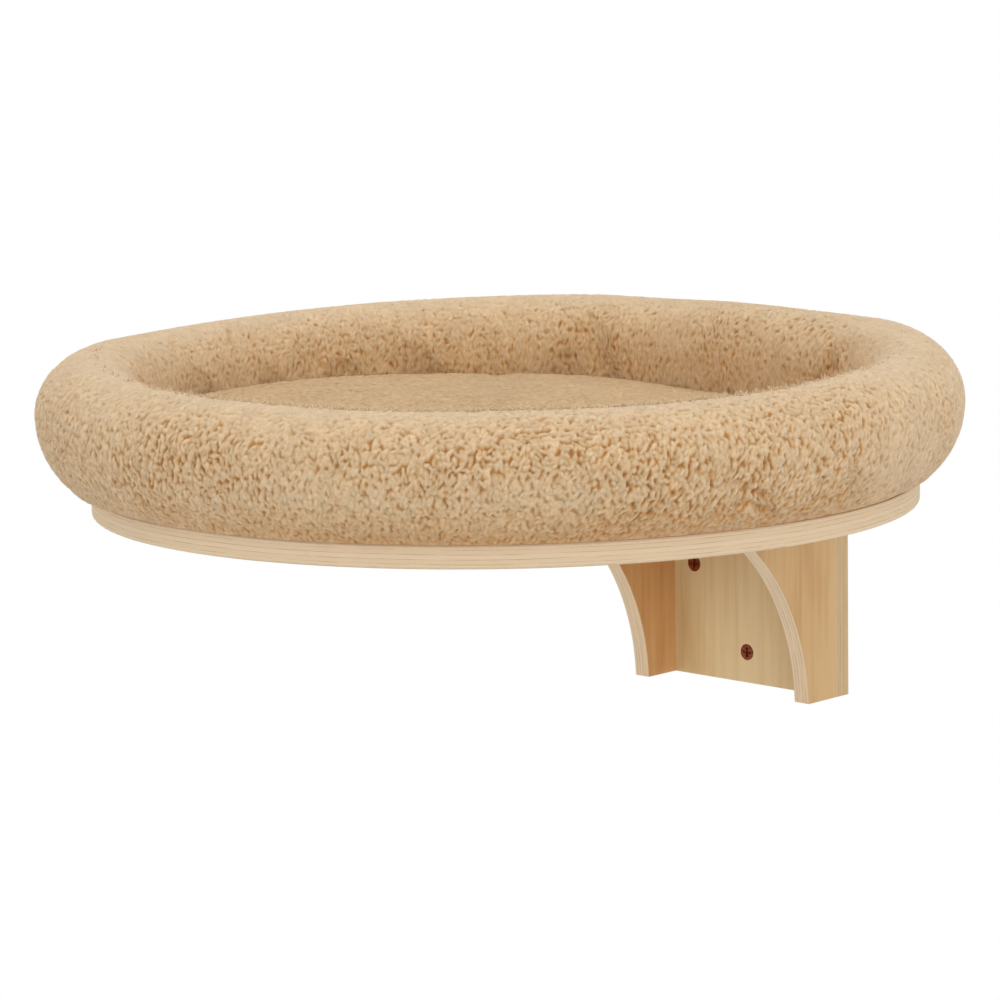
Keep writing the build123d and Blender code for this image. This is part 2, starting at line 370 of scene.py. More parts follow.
def bolster_section():
    """The section as (radius, height) points, from the foot's inner edge outwards, up over the
    crown and down inside: a straight foot, a circle arc, two quarter ellipses and a circle arc."""
    foot_inner, foot_outer = 169.0 * mm, 191.8 * mm
    reach = bolster_radius - foot_outer
    outer = (reach**2 + belly_height**2) / (2 * reach)
    reach_in = foot_inner - bolster_inner
    inner = (reach_in**2 + belly_height**2) / (2 * reach_in)
    sweep = math.degrees(math.asin(belly_height / outer))
    sweep_in = math.degrees(math.asin(belly_height / inner))
    rise = crown_height - belly_height
    foot = np.stack([np.linspace(foot_inner, foot_outer, 30, endpoint=False), np.zeros(30)], 1)
    return np.concatenate([
        foot,
        arc((bolster_radius - outer, belly_height), outer, outer, -sweep, 0, 80),
        arc((crown_radius, belly_height), bolster_radius - crown_radius, rise, 0, 90, 90),
        arc((crown_radius, belly_height), crown_radius - bolster_inner, rise, 90, 180, 90),
        arc((bolster_inner + inner, belly_height), inner, inner, 180, 180 + sweep_in, 40),
        foot[:1],
    ])


section = bolster_section()
run = np.concatenate([[0.0], np.cumsum(np.linalg.norm(np.diff(section, axis=0), axis=1))])
section_length = run[-1]


def ring_surface(angle, along):
    """Points of the bolster's skin at angles round the ring and lengths along the section.

    The section's height is scaled to the ring's height there. Its radius is squeezed so that
    radius * sin(angle) stays wall_gap short of the wall: the limit is a soft minimum of the full
    radius and the distance to the wall. What the wall takes away outside bulges out inside, fully
    at the inner belly and by 0.7 of it at the crown."""
    radius = np.interp(along, run, section[:, 0])
    height = np.interp(along, run, section[:, 1]) * ring_height(angle) / crown_height
    room = (-bed_middle[1] - wall_gap) / np.maximum(np.sin(angle), 0.05)
    soft, far_off = 4.0 * mm, 0.6
    walled = np.exp(-np.minimum(room, far_off) / soft)
    limit = -soft * np.log(np.exp(-bolster_radius / soft) + walled)
    squeeze = (limit - bolster_inner) / (bolster_radius - bolster_inner)
    radius = bolster_inner + (radius - bolster_inner) * squeeze
    crown = bolster_inner + (crown_radius - bolster_inner) * squeeze
    inside = np.clip((crown - radius) / (crown - bolster_inner), 0.0, 1.0)
    outside = np.clip((radius - crown) / (limit - crown), 0.0, 1.0)
    radius = radius - push(angle) * (0.7 + 0.3 * inside - 0.7 * outside)
    return about_bed(radius, angle, height)


print("section length, mm:", in_mm(section_length))

# %% [markdown]
# ## Turning grids into meshes
# All soft pieces are grids of points. A grid may close on itself either way, as on the ring, or
# end in a rim that is closed from below, as on the pad. The last helper works out a grid's outward
# directions from its own differences.

# %% Grids, meshes and their normals
def grid_faces(rows, columns, close_rows, close_columns):
    """Corner numbers of the quads between neighbouring points of a rows x columns grid."""
    i = np.arange(rows if close_rows else rows - 1)
    j = np.arange(columns if close_columns else columns - 1)
    i, j = np.meshgrid(i, j, indexing="ij")
    right_of, above = (i + 1) % rows, (j + 1) % columns
    quads = np.stack([i * columns + j, right_of * columns + j, right_of * columns + above,
                      i * columns + above], -1)
    return quads.reshape(-1, 4)


def square_grid(count):
    """Places a, b of a count x count grid of points over the square -1..1."""
    steps = np.linspace(-1, 1, count)
    return np.meshgrid(steps, steps, indexing="ij")


def square_rim(count):
    """Numbers of the points along the rim of a count x count grid, in turn."""
    index = np.arange(count * count).reshape(count, count)
    return np.concatenate([index[:-1, 0], index[-1, :-1], index[:0:-1, -1], index[0, :0:-1]])


def cushion_faces(count):
    """Quads of a count x count grid, and triangles from its rim to one more point below it."""
    rim = square_rim(count)
    below = np.stack([np.roll(rim, -1), rim, np.full(len(rim), count * count)], 1)
    return [grid_faces(count, count, False, False), below]


def make_mesh(name, points, faces, smooth=True):
    """A mesh object from points and faces: an array of equal faces, or a list of such arrays."""
    mesh = bpy.data.meshes.new(name)
    faces = faces if isinstance(faces, list) else [faces]
    corners = np.concatenate([part.ravel() for part in faces]).astype(np.int32)
    sizes = np.concatenate([np.full(len(part), part.shape[1]) for part in faces])
    mesh.vertices.add(len(points))
    mesh.vertices.foreach_set("co", flat(points))
    mesh.loops.add(len(corners))
    mesh.loops.foreach_set("vertex_index", corners)
    mesh.polygons.add(len(sizes))
    starts = np.concatenate([[0], np.cumsum(sizes)[:-1]]).astype(np.int32)
    mesh.polygons.foreach_set("loop_start", starts)
    mesh.update(calc_edges=True)
    mesh.polygons.foreach_set("use_smooth", np.full(len(sizes), smooth))
    piece = bpy.data.objects.new(name, mesh)
    scene.collection.objects.link(piece)
    return piece


def flat(values):
    """Values as one row of 32-bit numbers, as meshes take them."""
    return np.ascontiguousarray(values, dtype=np.float32).ravel()


def unit(vectors):
    """Vectors scaled to length 1."""
    return vectors / np.maximum(np.linalg.norm(vectors, axis=-1, keepdims=True), 1e-12)


def outward(points, close_rows=True, close_columns=True):
    """Unit normals of a grid: the cross product of its differences along the two directions."""
    def slope(axis, closed):
        if closed:
            return np.roll(points, -1, axis) - np.roll(points, 1, axis)
        return np.gradient(points, axis=axis)
    return unit(np.cross(slope(0, close_rows), slope(1, close_columns)))


print("grid helpers ready")

# %% [markdown]
# ## Puffing up the stuffing
# A stuffed tube is never a perfect sweep: the cloth swells between its seams and dents where it is
# held. A short cloth simulation gives that. A coarse copy of the skin, a little too small, is
# blown up by pressure for a few frames with no gravity, while its foot is held. Only how far each
# point moved is kept: its mean round the ring is taken off, so that the section stays as it was
# found, it is limited softly, and it is spread smoothly over the fine grid later.

# %% The cloth simulation
def puff(name, points, faces, held, pressure, frames, cap):
    """How far each point of a closed mesh moves when cloth pressure blows it up.

    held is 1 for points that stay and 0 for free ones; no move is longer than cap."""
    balloon = make_mesh(name, points, faces)
    group = balloon.vertex_groups.new(name="held")
    for index in np.flatnonzero(held > 0.01):
        group.add([int(index)], float(held[index]), "REPLACE")
    cloth = balloon.modifiers.new("puff", "CLOTH")
    settings = cloth.settings
    settings.quality = 6
    settings.mass = 0.25
    settings.tension_stiffness = settings.compression_stiffness = 12.0
    settings.shear_stiffness = 6.0
    settings.bending_stiffness = 1.5
    settings.use_pressure = True
    settings.uniform_pressure_force = pressure
    settings.vertex_group_mass = "held"
    settings.effector_weights.gravity = 0.0
    cloth.collision_settings.use_collision = False
    cloth.point_cache.frame_start = 1
    cloth.point_cache.frame_end = frames
    for frame_number in range(1, frames + 1):
        scene.frame_set(frame_number)
    blown = balloon.evaluated_get(bpy.context.evaluated_depsgraph_get())
    moved = np.empty(len(points) * 3, dtype=np.float32)
    blown.data.vertices.foreach_get("co", moved)
    move = moved.reshape(-1, 3) - points
    length = np.linalg.norm(move, axis=1, keepdims=True)
    move *= np.minimum(1.0, cap / np.maximum(length, 1e-9))
    scene.frame_set(1)
    bpy.data.objects.remove(balloon, do_unlink=True)
    print(name, "moved by up to and on average, mm:", in_mm([length.max(), length.mean()]))
    return move


def along_axis(values, axis, dimensions):
    """A row of values turned to lie along one axis of a grid with that many dimensions."""
    return values.reshape([-1 if k == axis else 1 for k in range(dimensions)])


def slow_noise(shape, sizes, seed):
    """Smooth noise of mean 0 and spread 1 on a grid that wraps: white noise whose fine waves are
    damped by a Gaussian of the given sizes, in cells."""
    white = np.random.default_rng(seed).standard_normal(shape)
    damp = 1.0
    for axis, size in enumerate(sizes):
        wave = np.fft.fftfreq(shape[axis]) * size * 2.0
        damp = damp * along_axis(np.exp(-(wave**2) * 4.0), axis, len(shape))
    smooth = np.fft.ifftn(np.fft.fftn(white) * damp).real
    return (smooth - smooth.mean()) / smooth.std()


def resample(values, place, axis, closed):
    """Values of a grid read at fractional places along one axis, by a Catmull-Rom curve."""
    count = values.shape[axis]
    base = np.floor(place).astype(int)
    t = along_axis(place - base, axis, values.ndim)
    def at(step):
        index = (base + step) % count if closed else np.clip(base + step, 0, count - 1)
        return np.take(values, index, axis=axis)
    before, here, there, after = at(-1), at(0), at(1), at(2)
    return here + 0.5 * t * (there - before + t * (2 * before - 5 * here + 4 * there - after
                                                   + t * (3 * (here - there) + after - before)))


def soft_limit(values, limit):
    """Values bent smoothly so that none passes the limit: limit * tanh(value / limit)."""
    return limit * np.tanh(values / limit)


print("simulation helpers ready")

# %% [markdown]
# ## The bolster's skin
# The coarse skin has about 5 mm between its points. It starts 3 mm too small and a little uneven,
# is held along its foot and its pressed back, and is puffed up. What comes out is how the real
# ring departs from the plain sweep.

# %% The bolster puffed up
coarse_round, coarse_along = 220, 36
shrunk, most_swell = 3.0, 1.8 * mm
coarse_angle = (np.arange(coarse_round) * 2 * np.pi / coarse_round)[:, None]
coarse_run = (np.arange(coarse_along) * section_length / coarse_along)[None, :]
coarse_skin = ring_surface(coarse_angle, coarse_run)
coarse_normal = outward(coarse_skin)
uneven = 0.8 * slow_noise((coarse_round, coarse_along), (7, 6), 11)
uneven += 0.6 * slow_noise((coarse_round, coarse_along), (16, 14), 12)
start = coarse_skin + coarse_normal * mm * (uneven[..., None] - shrunk)
low = coarse_skin[..., 2] - bed_bottom < 2.5 * mm
pressed = coarse_skin[..., 1] > -wall_gap - 1.0 * mm
held = np.where(low, 1.0, np.where(pressed, 0.7, 0.0))
ring_faces = grid_faces(coarse_round, coarse_along, True, True)
start[low] = coarse_skin[low]
bolster_move = puff("bolster_balloon", start.reshape(-1, 3), ring_faces, held.ravel(),
                    pressure=4.0, frames=16, cap=6.0 * mm)
change = start + bolster_move.reshape(start.shape) - coarse_skin
swell = (change * coarse_normal).sum(-1)
swell = soft_limit(swell - swell.mean(0, keepdims=True), most_swell) * (1.0 - held)
change = coarse_normal * swell[..., None]
print("the skin departs from the sweep by up to, mm:", in_mm(np.abs(swell).max()))

# %% [markdown]
# ## Locks of pile
# Seen close, the plush is a field of small curly locks, two to three millimetres wide and longer
# down the nap, gathered into clumps with slits between them. Each lock is a rounded bump,
# h = 1 - (u / width)^2 - (v / length)^2, in its own turned directions u and v. The pile's surface
# is the highest bump at each point. A slow warp bends the bumps so that no two look alike. Bumps
# are laid down all at once, one step of the grid at a time. Fine locks on coarse clumps give
# the pile.

# %% A field of locks
def lock_field(rows, columns, row_step, column_step, spacing, size, turn_spread, seed, wrap=True):
    """Height 0..1 of the pile on a grid, with each point's place (u, v) in its lock and the
    lock's own random tone.

    row_step gives the distance between rows at each column, column_step the one between columns.
    spacing and size are (across, along) in the same unit. turn_spread is in degrees; where it is
    small and the locks lie side by side, they are narrower, so that slits stay between them."""
    jitter, bending = 0.38, 0.28
    random = np.random.default_rng(seed)
    middle_step = float(np.max(row_step))
    count_row = int(rows * middle_step / spacing[0])
    count_column = int(columns * column_step / spacing[1]) + 2
    a, b = np.meshgrid(np.arange(count_row), np.arange(count_column), indexing="ij")
    shape = a.shape
    row = ((a + 0.5 * (b % 2) + random.uniform(-jitter, jitter, shape)) * rows / count_row).ravel()
    column = ((b - 0.5 + random.uniform(-jitter, jitter, shape)) * spacing[1] / column_step).ravel()
    number = len(row)
    width = size[0] * random.uniform(0.75, 1.3, number)
    length = size[1] * random.uniform(0.7, 1.4, number)
    tall = random.uniform(0.75, 1.12, number)
    tone = random.uniform(0.0, 1.0, number)
    spread = np.interp(column, np.arange(columns), np.broadcast_to(turn_spread, columns))
    width *= np.interp(spread, [15.0, 45.0], [0.82, 1.0])
    turned = np.radians(random.normal(0.0, 1.0, number) * spread)
    cos, sin = np.cos(turned), np.sin(turned)
    bend_size = 1.2 * size[1] / ((middle_step + column_step) / 2)
    bend = [bending * size[0] * slow_noise((rows, columns), (bend_size, bend_size), seed + k)
            for k in (1, 2)]
    height = np.zeros((rows, columns))
    place = np.zeros((rows, columns, 3))
    row_cell, column_cell = np.floor(row).astype(int), np.floor(column).astype(int)
    reach_row = int(np.ceil(size[1] * 1.2 / float(np.min(row_step))))
    reach_column = int(np.ceil(size[1] * 1.35 / column_step))
    for step in range(-reach_row, reach_row + 1):
        for rise in range(-reach_column, reach_column + 1):
            i, j = row_cell + step, column_cell + rise
            inside = (j >= 0) & (j < columns) & (wrap | ((i >= 0) & (i < rows)))
            i, j = i[inside] % rows, j[inside]
            across = (row_cell[inside] + step - row[inside]) * row_step[j] + bend[0][i, j]
            down = (j - column[inside]) * column_step + bend[1][i, j]
            u = across * cos[inside] + down * sin[inside]
            v = down * cos[inside] - across * sin[inside]
            bump = tall[inside] * (1.0 - (u / width[inside]) ** 2 - (v / length[inside]) ** 2)
            higher = bump > height[i, j]
            i, j = i[higher], j[higher]
            height[i, j] = bump[higher]
            place[i, j] = np.stack([u[higher], v[higher], tone[inside][higher]], 1)
    return height, place, number


print("lock field ready")

# %% [markdown]
# The fine skin has a point every 0.7 mm where it shows, and wide steps where it lies on the
# seat or behind the pad. Two short creases cross its near side, and a dent and a seam its far
# one. The pile stands out along the skin's outward direction, and each lock leans a little its
# own way along the nap. Its tips reach the ring's outline and its slits lie below. Just inside
# the crown, on the near side, some tips stand up free: small three-sided spikes with a bend,
# whose roots lie in the pile.

# %% The fine bolster
def groove(angle, along, start, stop, width):
    """How deep a point lies in a groove: exp(-(distance / width)^2), which is 1 at its bottom.

    The groove runs straight from start to stop, each a pair of degrees round the ring and mm along
    the section. width is in mm."""
    degree = 3.3  # mm round the ring
    a, b = np.broadcast_arrays(np.degrees(angle) * degree, along / mm)
    first_a, first_b, last_a, last_b = start[0] * degree, start[1], stop[0] * degree, stop[1]
    run_a, run_b = last_a - first_a, last_b - first_b
    share = ((a - first_a) * run_a + (b - first_b) * run_b) / (run_a**2 + run_b**2)
    share = np.clip(share, 0.0, 1.0)
    distance = np.hypot(a - first_a - share * run_a, b - first_b - share * run_b)
    return np.exp(-((distance / width) ** 2))


pile_depth, crease_depth = 2.3 * mm, 1.4 * mm
fine_round = 1800
fine_step = 0.7 * mm
foot_length = 22.8 * mm
shown_from, shown_to = foot_length + 0.4 * mm, section_length - 20.0 * mm
shown_count = int((shown_to - shown_from) / fine_step)
shown = shown_from + np.arange(shown_count) * fine_step
hidden = 6
shown_part = slice(hidden, hidden + shown_count)
fine_run = np.concatenate([np.linspace(0.0, shown_from, hidden + 1)[:-1], shown,
                           np.linspace(shown[-1], section_length, 9)[1:-1]])
fine_angle = (np.arange(fine_round) * 2 * np.pi / fine_round)[:, None]
skin = ring_surface(fine_angle, fine_run[None, :])
spread_change = resample(change, fine_angle[:, 0] / (2 * np.pi) * coarse_round, 0, True)
spread_change = resample(spread_change, fine_run / section_length * coarse_along, 1, True)
skin = skin + spread_change
skin[..., 1] = np.minimum(skin[..., 1], -wall_gap)
dented = sum(groove(fine_angle, fine_run[None, :], *line) for line in [
    ((341.0, 57.1), (346.5, 46.3), 1.1), ((342.5, 47.6), (348.5, 36.3), 1.1),
    ((197.0, 117.9), (199.0, 122.9), 1.8), ((182.0, 112.9), (185.0, 127.9), 1.3)])
skin = skin - outward(skin) * (crease_depth * dented)[..., None]
skin_normal = outward(skin)
nap = unit(np.roll(skin, -1, 1) - np.roll(skin, 1, 1))

crown_run = float(run[np.argmax(section[:, 1])])
from_crown = np.abs(shown - crown_run)
low_inside = np.clip((fine_run - crown_run - 12.0 * mm) / (30.0 * mm), 0.0, 1.0)
turn_spread = np.interp(from_crown, [0.0, 18.0 * mm, 40.0 * mm], [75.0, 36.0, 17.0])
row_step = np.interp(shown, run, section[:, 0]) * 2 * np.pi / fine_round
grid = (fine_round, shown_count, row_step, fine_step)
fine_locks, place, lock_count = lock_field(
    *grid, (1.9 * mm, 3.0 * mm), (1.38 * mm, 2.8 * mm), turn_spread, 21)
clumps, clump_place, clump_count = lock_field(
    *grid, (4.2 * mm, 6.4 * mm), (3.1 * mm, 5.4 * mm), turn_spread, 22)
ruffled = 0.80 + 0.20 * np.clip(slow_noise((fine_round, shown_count), (24, 20), 23), -1.0, 1.0)
ruffled *= np.interp(from_crown, [4.0 * mm, 16.0 * mm, 30.0 * mm], [0.50, 0.85, 1.0])
pile = 0.80 * np.clip(fine_locks, 0.0, 1.0) ** 0.72 + 0.20 * np.clip(clumps, 0.0, 1.0) ** 0.6
pile = 1.0 - (1.0 - pile) * ruffled * (1.0 - 0.3 * low_inside[shown_part])
place[..., 2] = 0.6 * place[..., 2] + 0.4 * clump_place[..., 2]
print("locks:", lock_count, "clumps:", clump_count, "points:", skin.shape[0] * skin.shape[1])

# %% [markdown]
# A bake of the finish for other programs needs every spot of the skin in its own place on a
# square. The ring is long and narrow, so it is laid out as three strips, one over the other.

# %% The pile raised and the mesh made
def write_locks(piece, depth, place):
    """Stores for each point the depth that sets its colour, which the plush finish turns into
    painted shade low in the pile, and where it lies in its lock.
    """
    for name, kind, key, values in (("pile_shade_depth", "FLOAT", "value", depth),
                                    ("lock_place", "FLOAT_VECTOR", "vector", place)):
        piece.data.attributes.new(name, kind, "POINT").data.foreach_set(key, flat(values))


def strip_corners(rows, columns_place, strips):
    """UV places of the face corners of a ring grid that is cut into strips of equal length, laid one
    over the other with a small margin round each."""
    columns = len(columns_place)
    i, j = np.meshgrid(np.arange(rows), np.arange(columns), indexing="ij")
    each = rows // strips
    strip = i // each
    ends = np.concatenate([columns_place, [1.0]])
    corners = []
    for di, dj in ((0, 0), (1, 0), (1, 1), (0, 1)):
        u = 0.004 + 0.992 * (i - strip * each + di) / each
        v = (strip + 0.01 + 0.98 * ends[j + dj]) / strips
        corners.append(np.stack([u, v], -1))
    return np.stack(corners, 2).reshape(-1, 2)


full_pile = np.full(skin.shape[:2], 0.75)
full_place = np.zeros(skin.shape)
full_pile[:, shown_part] = pile
full_place[:, shown_part] = place
from_edge = np.minimum(np.arange(shown_count), np.arange(shown_count)[::-1]) * fine_step
fade = np.zeros(skin.shape[1])
fade[shown_part] = np.minimum(1.0, from_edge / (1.6 * mm))
lean_way = np.interp(fine_run, [crown_run + step * mm for step in (-30, -6, 6, 30)],
                     [0.2, -0.25, 0.25, 0.5])
own_lean = (full_place[..., 2:] - 0.5) * 0.9 * mm
raised = skin + skin_normal * ((full_pile - 1.0) * fade * pile_depth)[..., None]
raised += nap * (full_pile * fade * (lean_way * 0.55 * mm))[..., None]
raised += nap * own_lean * (full_pile * fade)[..., None]
raised[..., 1] = np.minimum(raised[..., 1], -wall_gap)
raised[..., 2] = np.maximum(raised[..., 2], bed_bottom)


def spikes(roots, ways, sides, lengths, thickness, first_index):
    """Points and faces of bent three-sided spikes: three corners at the root, three half way
    along, bent sideways, and a tip."""
    across = unit(np.cross(ways, sides))
    along = np.cross(across, ways)
    turns = np.radians([0.0, 120.0, 240.0])
    corner = [along * math.cos(t) + across * math.sin(t) for t in turns]
    middle = roots + ways * lengths[:, None] * 0.55 + sides * lengths[:, None] * 0.12
    tip = roots + ways * lengths[:, None] + sides * lengths[:, None] * 0.40
    points = np.stack([roots + c * thickness for c in corner]
                      + [middle + c * thickness * 0.7 for c in corner] + [tip], 1).reshape(-1, 3)
    base = first_index + np.arange(len(roots))[:, None] * 7
    quads = [base + np.array([[i, (i + 1) % 3, 3 + (i + 1) % 3, 3 + i]]) for i in range(3)]
    ends = [base + np.array([[3 + i, 3 + (i + 1) % 3, 6]]) for i in range(3)]
    ends.append(base + np.array([[0, 2, 1]]))
    return points, np.concatenate(quads), np.concatenate(ends)


random = np.random.default_rng(77)
spike_count = 1700
root_row = fine_round * (0.874 + 0.08 * random.standard_normal(spike_count))
root_row = root_row.astype(int) % fine_round
crown_column = hidden + int(round((crown_run - shown_from) / fine_step))
band = max(2, int(6.0 * mm / fine_step))
root_column = crown_column + random.integers(0, band, spike_count)
way = unit(skin_normal[root_row, root_column] + 0.45 * random.standard_normal((spike_count, 3)))
side_way = unit(random.standard_normal((spike_count, 3)))
spike_points, spike_quads, spike_ends = spikes(
    raised[root_row, root_column] - way * 0.5 * mm, way, side_way,
    random.uniform(1.2, 2.6, spike_count) * mm, 0.42 * mm, raised.shape[0] * raised.shape[1])
bolster = make_mesh("bolster_plush", np.concatenate([raised.reshape(-1, 3), spike_points]),
                    [grid_faces(fine_round, skin.shape[1], True, True), spike_quads, spike_ends])
# Painted shade and a painted highlight: the colour is made darker and more orange at the foot of the
# inner wall, just over the seat on the near side, most where it faces the camera, and in the
# creases; on the crown it is made paler.
facing_near = (0.5 + 0.5 * np.cos(fine_angle - np.radians(314.5))) ** 2
low_outside = np.clip((foot_length + 30.0 * mm - fine_run) / (24.0 * mm), 0.0, 1.0)
on_crown = np.exp(-(((fine_run - crown_run - 4.0 * mm) / (7.0 * mm)) ** 2))
shade_and_highlight_depth = (full_pile - 0.20 * low_inside - 0.32 * low_outside * facing_near - 0.2 * dented
                + 0.25 * on_crown)
spike_place = np.repeat(full_place[root_row, root_column], 7, 0)
write_locks(bolster, np.append(shade_and_highlight_depth.ravel(), np.full(len(spike_points), 0.95)),
            np.concatenate([full_place.reshape(-1, 3), spike_place]))
corners = strip_corners(fine_round, fine_run / section_length, 3)
root_corner = corners.reshape(fine_round, skin.shape[1], 4, 2)[root_row, root_column, 0]
quad_corners, end_corners = (np.repeat(root_corner, sides, 0) for sides in (4, 3))
corners = np.concatenate([corners, np.tile(quad_corners, (3, 1)), np.tile(end_corners, (4, 1))])
bolster.data.uv_layers.new(name="OFBake").uv.foreach_set("vector", flat(corners))
print("bolster mesh:", len(bolster.data.vertices), "points")

# %% [markdown]
# ## The floor pad
# The pad is a round cushion with a low crown and a rolled edge that disappears behind the ring.
# Its pile is shorter and lies flatter. A polar grid would crowd its points in the middle, so a
# square grid is folded onto the disc instead: the larger of |a| and |b| becomes the radius, and
# the other one the angle within a quarter. A simulation gives it its slack surface too.

# %% The pad's shape
pad_rim = 166.0 * mm
pad_low = 4.0 * mm
pad_crown = 33.5 * mm


def square_to_disc(a, b):
    """Radius 0..1 and angle of points of the square -1..1, by the concentric map."""
    wide = np.abs(a) >= np.abs(b)
    radius = np.where(wide, a, b)
    safe = np.where(radius == 0, 1.0, radius)
    angle = np.where(wide, np.pi / 4 * b / safe, np.pi / 2 - np.pi / 4 * a / safe)
    return np.abs(radius), angle + np.where(radius < 0, np.pi, 0.0)


def pad_surface(a, b):
    """Points of the pad's upper skin and edge for a, b in the square -1..1.

    Up to 0.9 of the way out the crown runs to the edge's height there as a parabola; then a half
    round edge of the pad's thickness turns under to the foot. The edge is plumper on the left, and
    the pad gives way where the wall pushes the ring in."""
    edge_starts = 0.9
    share, angle = square_to_disc(a, b)
    edge = mm * (29.0 - 4.2 * np.cos(angle) - 1.5 * np.sin(angle))
    rim = pad_rim - push(angle)
    over = np.clip((share - edge_starts) / 0.1, 0.0, 1.0)
    within = np.minimum(share / edge_starts, 1.0)
    thick = (edge - pad_low) / 2
    radius = (rim - thick * 0.6) * within + thick * 0.6 * np.sin(np.pi * over)
    dome = pad_crown + (edge - pad_crown) * within**2
    rolled = (edge + pad_low) / 2 + thick * np.cos(np.pi * over)
    return about_bed(radius, angle, np.where(share < edge_starts, dome, rolled))


def pad_mesh_points(top):
    """The grid's points with one more in the middle of the pad's underside."""
    under = np.array([[bed_middle[0], bed_middle[1], bed_bottom + pad_low]])
    return np.concatenate([top.reshape(-1, 3), under])


print("pad rim and crown, mm:", in_mm([pad_rim, pad_crown]))

# %% The pad puffed up and given its pile
pad_coarse = 49
ca, cb = square_grid(pad_coarse)
pad_skin = pad_surface(ca, cb)
pad_normal = outward(pad_skin, False, False)
pad_uneven = 0.7 * slow_noise((pad_coarse, pad_coarse), (8, 8), 31)[..., None]
pad_start = pad_skin + pad_normal * mm * (pad_uneven - 1.5)
pad_held = np.where(square_to_disc(ca, cb)[0] > 0.97, 1.0, 0.0)
pad_move = puff("pad_balloon", pad_mesh_points(pad_start), cushion_faces(pad_coarse),
                np.append(pad_held.ravel(), 1.0), pressure=1.5, frames=12, cap=4.0 * mm)
pad_change = pad_start + pad_move[:-1].reshape(pad_start.shape) - pad_skin
pad_swell = (pad_change * pad_normal).sum(-1)
pad_circle = np.rint(np.maximum(np.abs(ca), np.abs(cb)) * (pad_coarse // 2)).astype(int)
circle_mean = np.bincount(pad_circle.ravel(), pad_swell.ravel()) / np.bincount(pad_circle.ravel())
pad_swell = soft_limit(pad_swell - circle_mean[pad_circle], 1.5 * mm) * (1.0 - pad_held)
pad_change = pad_normal * pad_swell[..., None]

pad_fine = 385
fa, fb = square_grid(pad_fine)
fine_place = np.linspace(0, pad_coarse - 1, pad_fine)
pad_top = pad_surface(fa, fb)
pad_top += resample(resample(pad_change, fine_place, 0, False), fine_place, 1, False)
pad_top_normal = outward(pad_top, False, False)

raster = 430
raster_step = 2 * 170.0 * mm / raster
pad_height, pad_place, pad_count = lock_field(
    raster, raster, np.full(raster, raster_step), raster_step, (2.3 * mm, 2.8 * mm),
    (1.8 * mm, 2.7 * mm), 60.0, 41, wrap=False)
pick = ((pad_top[..., :2] - bed_middle) / raster_step + raster / 2).astype(int)
pick_x, pick_y = np.moveaxis(np.clip(pick, 0, raster - 1), -1, 0)
pad_pile = np.clip(pad_height[pick_x, pick_y], 0.0, 1.0) ** 0.75
pad_locks = pad_place[pick_x, pick_y]
pad_fade = np.clip((0.99 - square_to_disc(fa, fb)[0]) / 0.03, 0.0, 1.0)
pad_pile_depth = 1.2 * mm
pad_raised = pad_top + pad_top_normal * ((pad_pile - 1.0) * pad_fade * pad_pile_depth)[..., None]
pad_raised[..., :2] += ((pad_locks[..., 2] - 0.5) * 0.8 * mm * pad_pile * pad_fade)[..., None]
pad = make_mesh("pad_plush", pad_mesh_points(pad_raised), cushion_faces(pad_fine))
write_locks(pad, np.append(pad_pile.ravel(), 0.8),
            np.concatenate([pad_locks.reshape(-1, 3), np.zeros((1, 3))]))
print("locks on the pad:", pad_count, "points:", len(pad.data.vertices))

# %% [markdown]
# ## Plush
# The pile is a warm sand colour. It is painted paler at the tips of its locks as a painted highlight
# and a deeper orange-brown in its slits and pits as painted shade, and each lock is a little lighter
# or darker than the next. Fine fibres run along each lock, so their noise is read in the lock's own
# directions u and v, which the mesh carries as an attribute. Sheen stands for the loose fibre ends
# that brighten a fleece seen edge-on.

# %% The plush group and its materials
def make_plush_group():
    """Colour and height of pile from its depth in the pile and where it lies in its lock. A lock's
    colour goes from Pit over Slit and Body to Tip as Depth rises from 0 to 1: the darker, more
    orange Pit and Slit are painted shade and the paler Tip a painted highlight."""
    group, given, result = new_group("plush", {
        "Depth": 0.5, "Lock": None, "Place": None, "Tip": tint(227, 203, 168),
        "Body": tint(209, 172, 124), "Slit": tint(198, 142, 82), "Pit": tint(178, 116, 56)},
        ("Color", "Height"))
    depth, slit = given["Depth"], given["Slit"]
    tone = add_node(group, "SeparateXYZ", {0: given["Lock"]}).outputs[2]
    offset = add_node(group, "CombineXYZ", {2: maths(group, "MULTIPLY", tone, 40.0)})
    scaled = add_node(group, "Mapping", {0: given["Lock"], 3: (3000.0, 700.0, 0.0)})
    strand_place = add_node(group, "VectorMath", {0: scaled.outputs[0], 1: offset.outputs[0]},
                            operation="ADD").outputs[0]
    strands = grain_noise(group, strand_place, 1.0, 3.0, 0.6, None, 0.9)
    clouds = grain_noise(group, given["Place"], 60.0, 3.0, 0.55)
    # By depth: a paler Tip colour as a painted highlight, and darker, more orange Slit and Pit
    # colours as painted shade.
    body = blend_colour(group, ramp(group, depth, 0.50, 0.98), given["Body"], given["Tip"])
    body = blend_colour(group, ramp(group, depth, 0.30, 0.68, 1.0, 0.0), body, slit)
    body = blend_colour(group, ramp(group, depth, 0.0, 0.34, 1.0, 0.0), body, given["Pit"])
    body = blend_colour(group, ramp(group, strands, 0.40, 0.66, 0.0, 0.40), body, slit)
    shade = maths(group, "ADD", weighted(group, tone, 0.16, clouds, 0.14), 0.85)
    grey = add_node(group, "CombineColor", {0: shade, 1: shade, 2: shade})
    body = blend_colour(group, 1.0, body, grey.outputs[0], "MULTIPLY")
    group.links.new(body, result.inputs["Color"])
    group.links.new(strands, result.inputs["Height"])
    return group


plush = make_plush_group()


